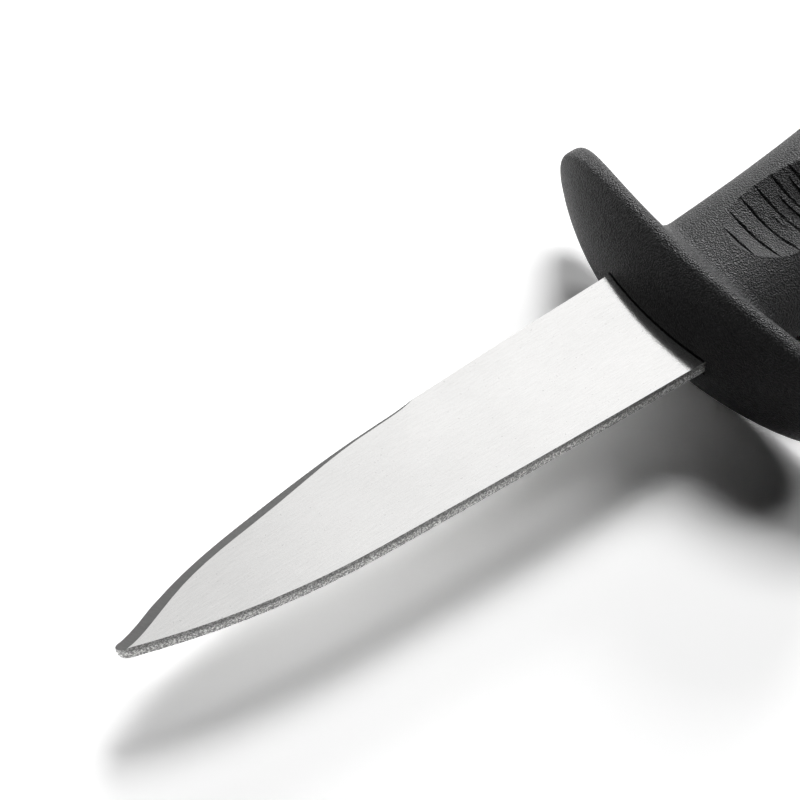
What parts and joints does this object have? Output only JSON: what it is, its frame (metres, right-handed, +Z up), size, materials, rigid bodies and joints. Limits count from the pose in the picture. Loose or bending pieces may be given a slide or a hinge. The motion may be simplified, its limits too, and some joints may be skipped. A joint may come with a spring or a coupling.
{
  "type": "oyster knife",
  "caption": "Oyster knife with a spear-shaped steel blade, ground along one edge of its point, and a black moulded grip with a wide oval guard and a ribbed thumb rest.",
  "frame": {"origin": "middle of the overall length and width, on the surface that the knife lies on", "axes": "+X from the blade's tip to the butt, +Z up out of the thumb rest, +Y towards the ground edge of the blade"},
  "size_m": [0.1764, 0.054, 0.0188],
  "materials": {
    "blade_steel": "satin sheet steel with a rough sheared edge and one ground edge",
    "pin_steel": "drawn steel, uncoated",
    "core_plastic": "plain moulded, hidden",
    "grip_elastomer": "matte black with a fine spark-eroded grain"
  },
  "bodies": {
    "root": {"blade": "blade_steel", "tang_pins": "pin_steel", "handle_core": "core_plastic", "guard_and_grip": "grip_elastomer"}
  },
  "joints": []
}
